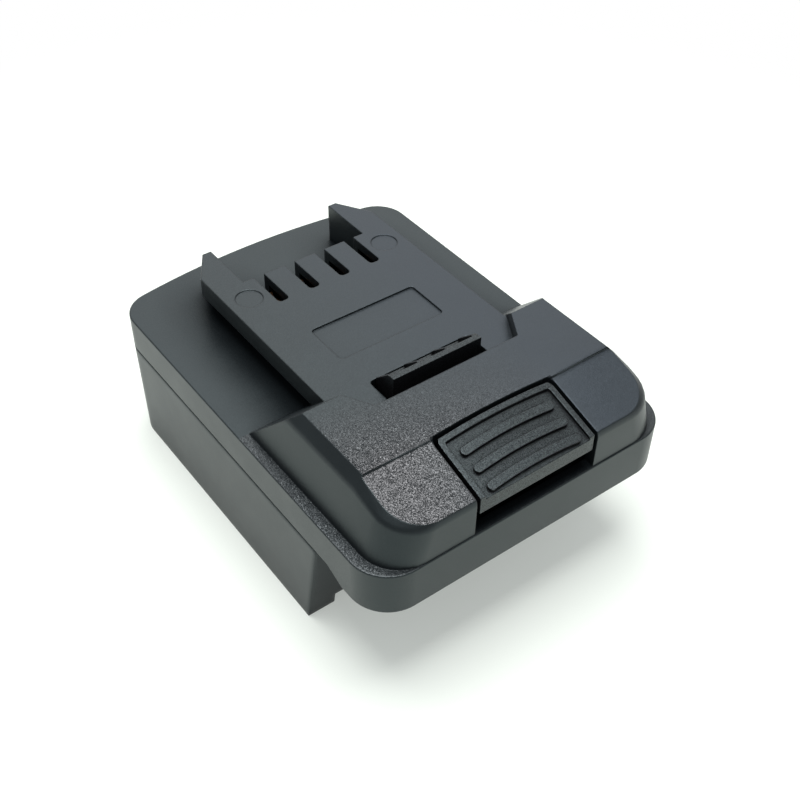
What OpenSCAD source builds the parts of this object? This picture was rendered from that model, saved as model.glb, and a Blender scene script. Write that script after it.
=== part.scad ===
// Slide-on battery adapter for a cordless tool.
// A tool slides on the T-rail on top; a battery of another make slides into the receiver below.
// Units are millimetres, +Z is up, the front with the release button faces -Y.
// The origin is at the middle of the footprint, on the surface that the adapter stands on.

/* [Housing] */
// Width over the skirt
body_w = 78; // [76:0.5:84]
// Length from the front face to the crown of the bowed rear edge
body_l = 108; // [107:0.5:114]
// Height of the lower housing, from the bottom rim to the parting line
lower_h = 25.7; // [25:0.1:29]
// Height of the skirt, from the parting line to the top plate
skirt_h = 8.8; // [8.4:0.1:9.6]
// How much deeper the skirt hangs under the front overhang
skirt_drop = 2.1; // [1.5:0.1:2.6]
// Wall of the upper housing
wall_t = 2.5; // [2:0.1:2.8]
// Plan radius of the front corners
front_r = 9; // [7:0.5:10]
// Plan radius of the rear corners
rear_r = 8; // [6:0.5:9]
// Radius of the bowed rear edge
bow_r = 180; // [150:5:240]
// Gap between parts that are fitted together
fit_gap = 0.15; // [0.1:0.05:0.25]

/* [Tool rail] */
// Width over the two flanges
rail_w = 48; // [46.5:0.1:50]
// Height of the rail above the plate
rail_h = 10.2; // [9.8:0.1:10.8]
// Thickness of the flanges
flange_t = 5; // [4.6:0.1:5.4]
// Width of the neck under the flanges
neck_w = 38.6; // [37.8:0.1:39.6]
// Distance from the tips of the ears to the crown of the rear edge
rail_back = 9.8; // [8:0.1:12]
// Length of the two ears behind the tongue
ear_l = 14.9; // [12:0.1:16]
// Length of the taper outside each ear
ear_taper = 8.2; // [6:0.1:9]
// Width of an ear's tip
ear_tip_w = 2.2; // [1.8:0.1:3]
// Clear width between the ears
bay_w = 33.4; // [32:0.1:33.8]
// Pitch of the terminal slots
slot_pitch = 8.35; // [8:0.05:8.5]
// Width of a terminal slot
slot_w = 2.75; // [2.4:0.05:3]
// Length of a terminal slot, open at the rear
slot_l = 11.1; // [10:0.1:11.6]

/* [Latch hump] */
// Width of the hump at the plate
hump_w = 72.8; // [71:0.1:74]
// Width of its flat top
hump_top_w = 63; // [60:0.1:64]
// Height above the plate
hump_h = 14; // [13.6:0.1:14.8]
// Depth of the chamfer along the top edge
hump_chamfer = 2.45; // [2:0.05:2.8]
// Where the flat top starts to slope down to the front
crease_y = 15; // [14.8:0.1:16]
// Height that the top loses from the crease to the front face
nose_drop = 4.2; // [3.6:0.1:4.6]
// Foot of the rear slope, from the front face
hump_l = 49.5; // [49:0.1:52]

/* [Release latch] */
// Width of the push button
button_w = 29.3; // [28:0.1:30.4]
// Gap round the button
button_gap = 0.9; // [0.5:0.05:1.1]
// Travel of the latch
latch_travel = 4.6; // [4.4:0.05:4.7]
// Width of the hook
hook_w = 23; // [21:0.1:24]
// Height of the hook above the rail
hook_h = 4.3; // [3.6:0.1:4.3]
// Thickness of the hook's catching wall
hook_t = 1.4; // [1.2:0.1:2]
// Thickness of the four gussets behind it
gusset_t = 1.2; // [1:0.1:1.6]
// Outside diameter of a latch spring
spring_d = 7; // [6.6:0.1:7.6]
// Wire of a latch spring
spring_wire = 0.7; // [0.6:0.05:0.8]
// Curls of a latch spring
spring_turns = 5; // [4:0.5:5]

/* [Battery receiver] */
// Width of the channel for the battery's rail
channel_w = 50; // [49:0.1:50.6]
// Clear width between the two lips
lip_gap_w = 40.8; // [40:0.1:42]
// Width of the mouth below the lips
mouth_w = 64.6; // [64.4:0.1:66]
// Height of the mouth, from the rim to the lips
mouth_h = 3.2; // [2.8:0.1:3.6]
// Thickness of a lip
lip_t = 4.2; // [3.8:0.1:4.6]
// Height of the channel above the lips
channel_h = 6.6; // [6.2:0.1:7]
// Thickness of the deck above the channel
deck_t = 2.5; // [2:0.1:3]
// Thickness of a battery blade
blade_t = 0.8; // [0.6:0.05:1]

/* [Contacts and leads] */
// Sheet of the spring clips
clip_t = 0.6; // [0.5:0.05:0.7]
// Power lead over its insulation
lead_d = 2.6; // [2.2:0.1:2.8]
// Signal lead over its insulation
signal_d = 1.4; // [1.1:0.1:1.7]

/* [Screws] */
// Housing screw shank
screw_d = 2.9; // [2.6:0.1:3.1]
// Housing screw head
screw_head_d = 5.8; // [5.2:0.1:6]
// Length of a housing screw under its head
screw_l = 12; // [10:0.5:12.5]

/* [Hidden] */
$fn = 48;
eps = 0.01;
far = 300;

// Levels
plate_z = lower_h + skirt_h;
plate_t = 2.5;
plate_under = plate_z - plate_t;
rail_z = plate_z + rail_h;
rail_skin = 2.2;
neck_wall = 2;
tongue_wall = 2;
rail_roof = rail_z - rail_skin;
hump_z = plate_z + hump_h;
front_z = lower_h - skirt_drop;
deck_z = mouth_h + lip_t + channel_h;
deck_top = deck_z + deck_t;
floor_top = front_z + deck_t;

// Plan positions, from the front face
tongue_y = body_l - rail_back - ear_l;
nose_y = 0.9;
hump_front_y = 0.3;
cut_rear_y = crease_y + 0.55;
button_bow = 0.45;
button_front = 0.45;
slope_k = nose_drop / (crease_y - nose_y);
nose_step = 0.3;
step_y = crease_y - 0.15;
recess_front_y = 29;
recess_rear_y = 39;
recess_front_x = 18.6;
recess_rear_x = 24.4;
hook_y = 32.5;
hook_foot_y = hook_y + 6.1;
window_front_y = 29.4;
window_rear_y = hook_foot_y + 0.18;
window_gap = 1.7;
slope_end_y = hump_l - hump_h;
foot_r = 8.8;
shoulder_r = 8.6;
top_r = 8;
hump_space_w = 64;
top_space_w = 60;
nose_space_w = 52;
hump_skin = 2.5;
nose_space_y = 2.8;
lug_rear_y = hook_foot_y - 2.6;
guide_t = 2.5;
guide_front_y = 17.5;
guide_rear_y = 26;
clip_x = [-1.5 * slot_pitch, -0.5 * slot_pitch, 0.5 * slot_pitch, 1.5 * slot_pitch];

// Marks on the rail
label_w = 27.6;
label_l = 11.8;
label_y = hump_l - 1.5;
label_deep = 0.4;
mark = [18.7, tongue_y - 6];
mark_d = 6.4;
mark_deep = 0.2;

// Receiver
bulk_y = 29.6;
bulk_t = 3;
rear_wall = 7.5;
receiver_end = body_l - rear_wall;
rear_draft = 1.8;
lower_wall = 3.8;
wall_front_top = 21;
wall_front_bottom = 25.5;
catch_w = 26;
catch_l = 7.4;
catch_up = 4.5;
catch_skin = 2;

// Latch
bridge_z = plate_z + 1.5;
bridge_t = 2.5;
bridge_w = hook_w + 3.8;
guide_gap = 0.5;
seat_gap = 0.2;
spring_x = 9;
spring_y = 24;
pin_d = spring_d - 2 * spring_wire - 1;
pin_l = 2;
cut_bottom = plate_z + 0.2;
button_bottom = cut_bottom + latch_travel + 0.4;

// Screws
front_screw = [30.5, 10];
screw_clear = 0.15;
tap_gap = 0.05;
head_h = 2;
head_room = 0.3;
rear_screw = [mouth_w / 2 - screw_head_d / 2 - 0.2, receiver_end - 8.5];
boss_d = 5.8;
boss_room = 0.3;
front_seat_z = front_z + head_h + 0.2;
rear_seat_z = mouth_h + head_h + 0.2;
grip = 3.3;
carrier_screw = [10, tongue_y - 19.3];
carrier_screw_d = 2.5;
carrier_head_d = 5;
carrier_head_h = 1.6;
carrier_screw_l = 9;

// Contacts
clip_gap = 0.3;
carrier_l = 22.3;
carrier_front_y = tongue_y - carrier_l;
carrier_rear_y = tongue_y - tongue_wall - clip_gap;
carrier_z = plate_under - 1.5;
carrier_t = 4.5;
carrier_top = carrier_z + carrier_t;
clip_y0 = tongue_y - 13.8;
clip_h = 6;
tail_y = tongue_y - 11.3;
tail_t = 0.8;
tail_w = 3;
tail_z = carrier_z - 3.3;
lead_top = tail_z + 1.6;
blade_front = tongue_y - 9.3;
bay_front = tongue_y + 1.7;
bay_rear = receiver_end - 1;
blade_z = mouth_h + 2.3;
blade_h = 7;
blade_end = bay_front + 7;
blade_tail_l = 3.5;
blade_tail_z = deck_top + 7.5;
lead_low = blade_tail_z - 1.8;
holder_w = bay_w - 1.8;
holder_z = mouth_h + 1.4;
holder_flange_w = holder_w + 10.4;
holder_flange_t = 2.5;
post_x = holder_w / 2 + 2.8;
post_y = bay_front + 7.5;
post_d = 4.4;

// Moves plan positions measured from the front face to the middle of the footprint
module place() {
    translate([0, -body_l / 2, 0]) children();
}

// A box from one corner to the other
module block(x0, x1, y0, y1, z0, z1) {
    translate([x0, y0, z0]) cube([x1 - x0, y1 - y0, z1 - z0]);
}

// A box that is centred on the middle plane
module mid_block(w, y0, y1, z0, z1) {
    block(-w / 2, w / 2, y0, y1, z0, z1);
}

// A side profile in Y and Z, given its width along X
module side_profile(w, points) {
    translate([-w / 2, 0, 0])
        rotate([90, 0, 90])
            linear_extrude(w)
                polygon(points);
}

// Copies a child to both sides
module both_sides() {
    children();
    mirror([1, 0, 0]) children();
}

// Outline of the housing, set in by d: rounded front corners, bowed rear edge
module plan(d = 0) {
    half = body_w / 2 - d;
    fr = front_r - d;
    rr = rear_r - d;
    br = bow_r - d;
    cx = half - rr;
    bow_y = body_l - bow_r;
    cy = bow_y + sqrt(pow(br - rr, 2) - pow(cx, 2));
    tx = cx * br / (br - rr);
    ty = bow_y + (cy - bow_y) * br / (br - rr);
    intersection() {
        translate([0, bow_y]) circle(br, $fn = 720);
        polygon([[-half + fr, d], [half - fr, d], [half, d + fr], [half, cy], [tx, ty], [tx, body_l + 5],
            [-tx, body_l + 5], [-tx, ty], [-half, cy], [-half, d + fr]]);
    }
    for (s = [-1, 1]) {
        translate([s * (half - fr), d + fr]) circle(fr);
        translate([s * cx, cy]) circle(rr);
    }
}

// Rounded rectangle in plan
module rounded(w, y0, y1, r) {
    translate([-w / 2 + r, y0]) square([w - 2 * r, y1 - y0]);
    translate([-w / 2, y0 + r]) square([w, y1 - y0 - 2 * r]);
    for (x = [-w / 2 + r, w / 2 - r], y = [y0 + r, y1 - r]) translate([x, y]) circle(r);
}

// Outline of the hump at one level: round front corners, square rear
module hump_outline(half, y0, y1, r) {
    intersection() {
        union() {
            for (s = [-1, 1]) translate([s * (half - r), y0 + r]) circle(r, $fn = 32);
            translate([-half, y0 + r]) square([2 * half, y1 - y0 - r]);
        }
        translate([-half, y0]) square([2 * half, y1 - y0]);
    }
}

// Height of the sloping nose at a distance from the front face, lowered by a drop
function nose_z(y, drop = 0) = hump_z - nose_step + slope_k * (y - crease_y) - drop;

// Lays an outline on a plane that falls to the front
module on_slope(z, k) {
    multmatrix([[1, 0, 0, 0], [0, 1, 0, 0], [0, k, 1, z - k * crease_y], [0, 0, 0, 1]])
        translate([0, 0, -eps]) linear_extrude(eps) children();
}

// The hump: drafted walls, a chamfer that narrows round the nose, a sloping top
module hump() {
    wall_half = hump_top_w / 2 + 2.3;
    shoulder = hump_h - hump_chamfer;
    shoulder_k = 0.2;
    difference() {
        hull() {
            translate([0, 0, plate_z - 0.5])
                linear_extrude(0.5)
                    hump_outline(hump_w / 2, hump_front_y, hump_l, foot_r);
            translate([-wall_half, crease_y, plate_z])
                cube([2 * wall_half, hump_l - shoulder - crease_y, shoulder]);
            translate([-hump_top_w / 2, crease_y, plate_z])
                cube([hump_top_w, slope_end_y - crease_y, hump_h]);
            on_slope(plate_z + shoulder, shoulder_k)
                hump_outline(wall_half, hump_front_y, crease_y, shoulder_r);
            on_slope(hump_z, slope_k)
                hump_outline(hump_top_w / 2, nose_y, crease_y, top_r);
        }
        // Small step down to the nose at the crease
        side_profile(far, [[-9, nose_z(-9)], [step_y, nose_z(step_y)], [step_y, far], [-9, far]]);
    }
}

// Plan of the rail's flanges with the tapered ears
module flange_plan() {
    half = rail_w / 2;
    tip = tongue_y + ear_l;
    inner = bay_w / 2;
    difference() {
        polygon([[-half, slope_end_y], [half, slope_end_y], [half, tip - ear_taper],
            [inner + ear_tip_w, tip], [-inner - ear_tip_w, tip], [-half, tip - ear_taper]]);
        translate([-inner, tongue_y]) square([bay_w, far]);
    }
}

// Plan of the neck under the flanges
module neck_plan() {
    tip = tongue_y + ear_l;
    inner = bay_w / 2;
    difference() {
        translate([-neck_w / 2, recess_front_y]) square([neck_w, tip - 0.2 - recess_front_y]);
        translate([-inner, tongue_y]) square([bay_w, far]);
    }
}

// One terminal slot, with a rounded front end
module slot_plan(x) {
    r = 1;
    y0 = tongue_y - slot_l;
    for (s = [-1, 1]) translate([x + s * (slot_w / 2 - r), y0 + r]) circle(r, $fn = 32);
    translate([x - slot_w / 2, y0 + r]) square([slot_w, slot_l - r + 1]);
    translate([x - slot_w / 2 + r, y0]) square([slot_w - 2 * r, 2 * r]);
}

// The space inside the hump and the rail for the latch and the contacts
module upper_space() {
    cavity_w = neck_w - 2 * neck_wall;
    space_y = crease_y + 1;
    space_z = plate_under - 1;
    skin_z = hump_z - hump_skin;
    // Under the recess floor and down through the plate
    mid_block(hump_space_w, space_y, lug_rear_y, space_z, rail_roof - 0.2);
    // Under the flat top
    mid_block(top_space_w, space_y, recess_front_y - hump_skin, space_z, skin_z);
    // Under the sloping nose
    side_profile(nose_space_w, [[nose_space_y, space_z], [space_y + eps, space_z], [space_y + eps, skin_z],
        [crease_y, skin_z], [nose_space_y, skin_z - slope_k * (crease_y - nose_space_y)]]);
    // Along the rail
    mid_block(cavity_w, lug_rear_y - 1, tongue_y - tongue_wall, space_z, rail_roof);
}

// Upper housing: skirt, plate, rail with ears, hump
module upper_housing() {
    recess = [[-recess_rear_x, recess_rear_y], [-recess_front_x, recess_front_y],
        [recess_front_x, recess_front_y], [recess_rear_x, recess_rear_y],
        [recess_rear_x, far], [-recess_rear_x, far]];
    cut_w = button_w + 2 * button_gap;
    color([0.13, 0.13, 0.14]) place() difference() {
        union() {
            difference() {
                union() {
                    // Skirt and plate
                    difference() {
                        translate([0, 0, front_z]) linear_extrude(plate_z - front_z) plan();
                        translate([0, 0, front_z - 1])
                            linear_extrude(plate_under - front_z + 1) plan(wall_t);
                        side_profile(far, [[12, front_z - 5], [12, front_z], [17, lower_h], [far, lower_h],
                            [far, front_z - 5]]);
                    }
                    hump();
                    translate([0, 0, rail_z - flange_t]) linear_extrude(flange_t) flange_plan();
                    translate([0, 0, plate_z - 0.5]) linear_extrude(rail_h - 1) neck_plan();
                }
                // Catch recess behind the hump's flat top
                translate([0, 0, rail_z]) linear_extrude(far) polygon(recess);
                upper_space();
            }
            // Guide ribs beside the latch
            both_sides()
                block(bridge_w / 2 + guide_gap, bridge_w / 2 + guide_gap + guide_t,
                    guide_front_y, guide_rear_y, plate_under - 1, hump_z - 2);
            // Bosses for the housing screws
            both_sides() {
                translate([front_screw[0], front_screw[1], front_seat_z + grip])
                    cylinder(d = boss_d, h = plate_under - front_seat_z - grip + 1);
                translate([rear_screw[0], rear_screw[1], rear_seat_z + grip])
                    cylinder(d = boss_d, h = plate_under - rear_seat_z - grip + 1);
                // Bosses for the clip carrier
                translate([carrier_screw[0], carrier_screw[1], carrier_top])
                    cylinder(d = 6.4, h = rail_roof - carrier_top + 1);
                // Posts that hold the blade carrier down
                translate([post_x, post_y, deck_top + holder_flange_t])
                    cylinder(d = post_d, h = plate_under - deck_top - holder_flange_t + 1);
            }
        }
        // Button opening, open to the front
        translate([0, 0, cut_bottom])
            linear_extrude(far) rounded_rear(cut_w, -10, cut_rear_y, 2.5, button_bow);
        // Hook window
        translate([0, 0, rail_roof - 2])
            linear_extrude(rail_skin + 4)
                rounded(hook_w + 2 * window_gap, window_front_y, window_rear_y, 1);
        // Terminal slots
        for (x = clip_x) translate([0, 0, plate_z + 1.2]) linear_extrude(rail_h) slot_plan(x);
        // Label pocket and two ejector marks
        translate([0, 0, rail_z - label_deep])
            linear_extrude(1)
                rounded(label_w, label_y, label_y + label_l, 1);
        both_sides() translate([mark[0], mark[1], rail_z - mark_deep]) cylinder(d = mark_d, h = 1);
        // Pilot holes
        both_sides() {
            translate([front_screw[0], front_screw[1], front_seat_z])
                cylinder(d = screw_d + 2 * tap_gap, h = screw_l + 0.6);
            translate([rear_screw[0], rear_screw[1], rear_seat_z])
                cylinder(d = screw_d + 2 * tap_gap, h = screw_l + 0.6);
            translate([carrier_screw[0], carrier_screw[1], carrier_z])
                cylinder(d = carrier_screw_d + 2 * tap_gap, h = carrier_screw_l + 0.5);
        }
    }
}

// The battery's way in, from below and from the front
module receiver() {
    mid_block(mouth_w, -far, receiver_end, -1, mouth_h);
    mid_block(lip_gap_w, -far, receiver_end, 0, deck_z);
    mid_block(channel_w, -far, receiver_end, mouth_h + lip_t, deck_z);
    // Ahead of the bulkhead the way in is open up to the overhang
    mid_block(channel_w, -far, bulk_y, mouth_h + lip_t, front_z);
}

// Lower housing: walls, receiver lips, deck, shelf under the overhang
module lower_housing() {
    inset = wall_t + fit_gap;
    pocket_x0 = channel_w / 2 + 2.3;
    pocket_x1 = body_w / 2 - lower_wall;
    pocket_z = rear_seat_z + grip;
    color([0.10, 0.10, 0.11]) place() difference() {
        union() {
            difference() {
                union() {
                    // Walls, drafted at the rear and cut back under the overhang
                    intersection() {
                        translate([0, body_l, lower_h])
                            rotate([-rear_draft, 0, 0])
                                translate([0, -body_l, -2 * lower_h])
                                    linear_extrude(3 * lower_h) plan();
                        mid_block(far, 0, far, 0, lower_h);
                        side_profile(far, [[wall_front_bottom, -1], [far, -1], [far, lower_h + 1],
                            [wall_front_top, lower_h + 1], [wall_front_top, lower_h]]);
                    }
                    // Rim that locates the skirt
                    intersection() {
                        translate([0, 0, lower_h - 1]) linear_extrude(3.5) plan(inset);
                        mid_block(far, bulk_y, far, 0, far);
                    }
                }
                // Room for the contacts above the deck
                intersection() {
                    translate([0, 0, deck_top]) linear_extrude(far) plan(lower_wall);
                    mid_block(far, bulk_y + bulk_t, far, 0, far);
                }
                // Hollow side walls
                intersection() {
                    translate([0, 0, pocket_z]) linear_extrude(far) plan(lower_wall);
                    both_sides() block(pocket_x0, pocket_x1 + eps, bulk_y + bulk_t, receiver_end, 0, far);
                }
                receiver();
            }
            // Shelf under the overhang
            intersection() {
                translate([0, 0, front_z]) linear_extrude(deck_t) plan(inset);
                mid_block(far, -1, bulk_y + bulk_t, 0, far);
            }
            // Roof of the pocket that takes the battery's hook
            mid_block(catch_w + 2 * catch_skin, bulk_y, bulk_y + bulk_t + catch_l + catch_skin,
                deck_z, deck_z + catch_up + catch_skin);
            // Columns for the front screws
            both_sides() translate([front_screw[0], front_screw[1], front_z])
                cylinder(d = 9, h = front_seat_z + grip - front_z);
            // Spring seats
            both_sides() translate([spring_x, spring_y, front_z]) cylinder(d = pin_d, h = deck_t + pin_l);
        }
        mid_block(catch_w, bulk_y + bulk_t, bulk_y + bulk_t + catch_l, deck_z - 1, deck_z + catch_up);
        // Window for the blade carrier
        mid_block(holder_w + 0.8, bay_front - 0.3, bay_rear + 0.3, deck_z - 1, deck_top + 1);
        // Screw wells
        both_sides() {
            translate([front_screw[0], front_screw[1], front_z - 1])
                cylinder(d = screw_head_d + 2 * head_room, h = front_seat_z - front_z + 1);
            translate([front_screw[0], front_screw[1], front_z])
                cylinder(d = screw_d + 2 * screw_clear, h = 20);
            translate([rear_screw[0], rear_screw[1], mouth_h - eps])
                cylinder(d = screw_head_d + 2 * head_room, h = rear_seat_z - mouth_h + eps);
            translate([rear_screw[0], rear_screw[1], mouth_h])
                cylinder(d = screw_d + 2 * screw_clear, h = 20);
            // Way down for the tall rear boss
            translate([rear_screw[0], rear_screw[1], pocket_z])
                cylinder(d = boss_d + 2 * boss_room, h = lower_h);
        }
    }
}

// Everything under the plane of the sloping nose, lowered by a drop
module under_slope(drop) {
    side_profile(far, [[-5, 0], [-5, nose_z(-5, drop)], [far, nose_z(far, drop)], [far, 0]]);
}

// Everything over the plane of the sloping nose, lowered by a drop
module over_slope(drop) {
    side_profile(far, [[-9, nose_z(-9, drop)], [far, nose_z(far, drop)], [far, 2 * far], [-9, 2 * far]]);
}

// Plan of a grip ridge: a band along an arc, with round ends
module ridge_plan(arc_r, half_l, w) {
    end_y = sqrt(arc_r * arc_r - half_l * half_l);
    intersection() {
        difference() {
            circle(arc_r + w / 2, $fn = 720);
            circle(arc_r - w / 2, $fn = 720);
        }
        translate([-half_l, 0]) square([2 * half_l, 2 * arc_r]);
    }
    for (x = [-half_l, half_l]) translate([x, end_y]) circle(w / 2, $fn = 32);
}

// Three grip ridges, bowed in plan like the button's rear edge
module grip_ridges(drop) {
    ridge_w = 1.9;
    ridge_up = 0.8;
    ridge_root = 1;
    ridge_half_l = 10.9;
    arc_r = 100;
    first = 4.4;
    pitch = 4.35;
    translate([0, crease_y, nose_z(crease_y, drop)])
        rotate([atan(slope_k), 0, 0])
            for (i = [0:2])
                translate([0, -first - i * pitch - arc_r, -ridge_root])
                    linear_extrude(ridge_root + ridge_up) ridge_plan(arc_r, ridge_half_l, ridge_w);
}

// Release latch: push button, bridge, hook with gussets, all one moulding
module release_latch() {
    front = button_front;
    rear = cut_rear_y - button_gap;
    web_drop = 0.15;
    gusset_foot = 0.4;
    rim = 1.2;
    trough_drop = 0.75;
    skin = 3;
    hook_top = rail_z + hook_h;
    pitch = (hook_w - gusset_t) / 3;
    color([0.16, 0.16, 0.17]) place() {
        difference() {
            union() {
                // Button level with the sloping nose, with a trough that leaves its rim standing
                difference() {
                    intersection() {
                        translate([0, 0, button_bottom])
                            linear_extrude(far) rounded_rear(button_w, front, rear, 2, button_bow);
                        under_slope(0);
                    }
                    intersection() {
                        linear_extrude(far)
                            rounded_rear(button_w - 2 * rim, front - 5, rear - rim, 1.4, button_bow);
                        over_slope(trough_drop);
                    }
                }
                grip_ridges(trough_drop);
                // Neck from the button down to the bridge
                mid_block(bridge_w, rear - 4, rear, bridge_z, button_bottom + 1);
            }
            // Underside of the button
            side_profile(button_w - 5.2, [[front + 2.2, 0], [rear - 4, 0],
                [rear - 4, nose_z(rear - 4, skin)], [front + 2.2, nose_z(front + 2.2, skin)]]);
        }
        // Bridge under the hump
        mid_block(bridge_w, rear - eps, hook_foot_y, bridge_z, bridge_z + bridge_t);
        // Hook block
        mid_block(hook_w, hook_y, hook_foot_y, bridge_z, rail_z - web_drop);
        mid_block(hook_w, hook_y, hook_y + hook_t, bridge_z, hook_top);
        for (i = [0:3])
            translate([-hook_w / 2 + i * pitch + gusset_t / 2, 0, 0])
                side_profile(gusset_t, [[hook_y, rail_z - web_drop - 1],
                    [hook_foot_y, rail_z - web_drop - 1], [hook_foot_y, rail_z + gusset_foot],
                    [hook_y + hook_t + 0.6, hook_top - 0.2], [hook_y, hook_top - 0.2]]);
        // Lugs that stop the latch under the recess floor
        both_sides()
            block(hook_w / 2 - 1, hook_w / 2 + window_gap + 3, hook_y, lug_rear_y, bridge_z,
                rail_roof - 0.2 - seat_gap);
        // Pins that hold the springs
        both_sides() translate([spring_x, spring_y, bridge_z - pin_l]) cylinder(d = pin_d, h = pin_l + 1);
    }
}

// Rectangle with its rear corners rounded and its rear edge bowed out
module rounded_rear(w, y0, y1, r, bow) {
    half = w / 2 - r;
    bow_r = (half * half + bow * bow) / (2 * bow);
    top = y1 + bow;
    intersection() {
        union() {
            translate([-w / 2, y0]) square([w, top - y0 - r]);
            translate([-half, top - r - eps]) square([2 * half, r + eps]);
            for (x = [-half, half]) translate([x, top - r]) circle(r, $fn = 32);
        }
        translate([0, top - bow_r]) circle(bow_r, $fn = 720);
    }
}

// A tube along a path: one unbroken skin of rings with flat ends
module tube(points, r, sides) {
    n = len(points);
    dirs = [for (i = [0:n - 1]) unit(points[min(i + 1, n - 1)] - points[max(i - 1, 0)])];
    rings = [for (i = [0:n - 1]) ring(points[i], dirs[i], r, sides)];
    verts = [for (i = [0:n - 1], j = [0:sides - 1]) rings[i][j]];
    walls = [for (i = [0:n - 2], j = [0:sides - 1])
        let (k = (j + 1) % sides)
            each [[i * sides + j, (i + 1) * sides + j, (i + 1) * sides + k],
                [i * sides + j, (i + 1) * sides + k, i * sides + k]]];
    start = [for (j = [0:sides - 1]) j];
    end = [for (j = [sides - 1:-1:0]) (n - 1) * sides + j];
    polyhedron(verts, concat(walls, [start], [end]), convexity = 8);
}

function unit(v) = v / norm(v);

// One ring of a tube, square to its direction
function ring(p, d, r, sides) =
    let (ref = abs(d[2]) > 0.9 ? [1, 0, 0] : [0, 0, 1],
        u = unit(cross(ref, d)),
        v = cross(d, u))
    [for (j = [0:sides - 1]) p + r * (cos(360 * j / sides) * u + sin(360 * j / sides) * v)];

// Path of a latch spring: flat first and last half curl, even pitch between
function spring_path(x) =
    let (steps = 8,
        n = steps * spring_turns,
        dead = steps / 4,
        r = (spring_d - spring_wire) / 2,
        z0 = floor_top + spring_wire / 2,
        z1 = bridge_z - spring_wire / 2)
    [for (i = [0:n])
        let (a = 360 * i / steps, t = min(max((i - dead) / (n - 2 * dead), 0), 1))
            [x + r * cos(a), spring_y + r * sin(a), z0 + (z1 - z0) * t]];

// Least distance between points of a path that are at least half a curl apart
function least_gap(p) =
    min([for (i = [0:len(p) - 5], j = [i + 4:len(p) - 1]) norm(p[i] - p[j])]) - spring_wire;

module latch_spring(x) {
    path = spring_path(x);
    echo(least_spring_gap = least_gap(path));
    color([0.62, 0.63, 0.65]) place() tube(path, spring_wire / 2, 6);
}

module latch_spring_left() {
    latch_spring(-spring_x);
}

module latch_spring_right() {
    latch_spring(spring_x);
}

// Clip carrier: the insulating block that holds the four spring clips under the slots
module clip_carrier() {
    w = neck_w - 2 * neck_wall - 2 * clip_gap;
    rib_t = 1.2;
    color([0.75, 0.74, 0.70]) place() difference() {
        union() {
            mid_block(w, carrier_front_y, carrier_rear_y, carrier_z, carrier_top);
            // Walls that keep the clips apart
            for (x = [-slot_pitch, 0, slot_pitch])
                block(x - rib_t / 2, x + rib_t / 2, clip_y0, carrier_rear_y,
                    carrier_z, carrier_top + clip_h);
        }
        for (x = clip_x)
            block(x - tail_w / 2 - 0.1, x + tail_w / 2 + 0.1, tail_y - 0.1, tail_y + tail_t + 0.1,
                carrier_z - 1, carrier_top + 1);
        both_sides() translate([carrier_screw[0], carrier_screw[1], carrier_z - 1])
            cylinder(d = carrier_screw_d + 0.3, h = carrier_t + 2);
    }
}

// A spring clip: folded strip with two leaves that pinch a blade, and a solder tail
module clip(x) {
    mouth_y = carrier_rear_y - 0.2;
    pinch_y = mouth_y - 2.3;
    root_y = clip_y0 + 5.5;
    out = 2.2;
    pinch = 0.35;
    lip = 1.2;
    color([0.80, 0.62, 0.36]) place() translate([x, 0, 0]) {
        block(-out, out, clip_y0, root_y, carrier_top, carrier_top + clip_t);
        for (s = [-1, 1])
            translate([0, 0, carrier_top])
                linear_extrude(clip_h)
                    polygon([[s * (out - clip_t), clip_y0], [s * out, clip_y0], [s * out, root_y],
                        [s * (pinch + clip_t), pinch_y], [s * (lip + clip_t), mouth_y], [s * lip, mouth_y],
                        [s * pinch, pinch_y], [s * (out - clip_t), root_y]]);
        block(-tail_w / 2, tail_w / 2, tail_y, tail_y + tail_t, tail_z, carrier_top + clip_t / 2);
    }
}

module positive_clip() {
    clip(clip_x[0]);
}

module signal_clip_left() {
    clip(clip_x[1]);
}

module signal_clip_right() {
    clip(clip_x[2]);
}

module negative_clip() {
    clip(clip_x[3]);
}

// Blade carrier: hangs through the deck between the battery's ears
module blade_carrier() {
    color([0.12, 0.12, 0.13]) place() difference() {
        union() {
            mid_block(holder_w, bay_front, bay_rear, holder_z, deck_top + 1);
            mid_block(holder_flange_w, bay_front - 0.8, bay_rear - 0.5,
                deck_top, deck_top + holder_flange_t);
        }
        for (x = clip_x) {
            block(x - blade_t / 2 - 0.05, x + blade_t / 2 + 0.05, bay_front - 2, blade_end + 0.05,
                blade_z - 0.05, blade_z + blade_h + 0.05);
            block(x - blade_t / 2 - 0.05, x + blade_t / 2 + 0.05,
                blade_end - blade_tail_l - 0.05, blade_end + 0.05, blade_z + blade_h - 1, far);
        }
    }
}

// A battery blade: flat stamping with a tail for its lead
module blade(x) {
    nose = 1.6;
    color([0.82, 0.80, 0.74]) place() translate([x, 0, 0])
        side_profile(blade_t, [[blade_front + nose, blade_z], [blade_end, blade_z],
            [blade_end, blade_tail_z], [blade_end - blade_tail_l, blade_tail_z],
            [blade_end - blade_tail_l, blade_z + blade_h],
            [blade_front + nose, blade_z + blade_h], [blade_front, blade_z + blade_h - nose],
            [blade_front, blade_z + nose]]);
}

module positive_blade() {
    blade(clip_x[0]);
}

module signal_blade_left() {
    blade(clip_x[1]);
}

module signal_blade_right() {
    blade(clip_x[2]);
}

module negative_blade() {
    blade(clip_x[3]);
}

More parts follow.
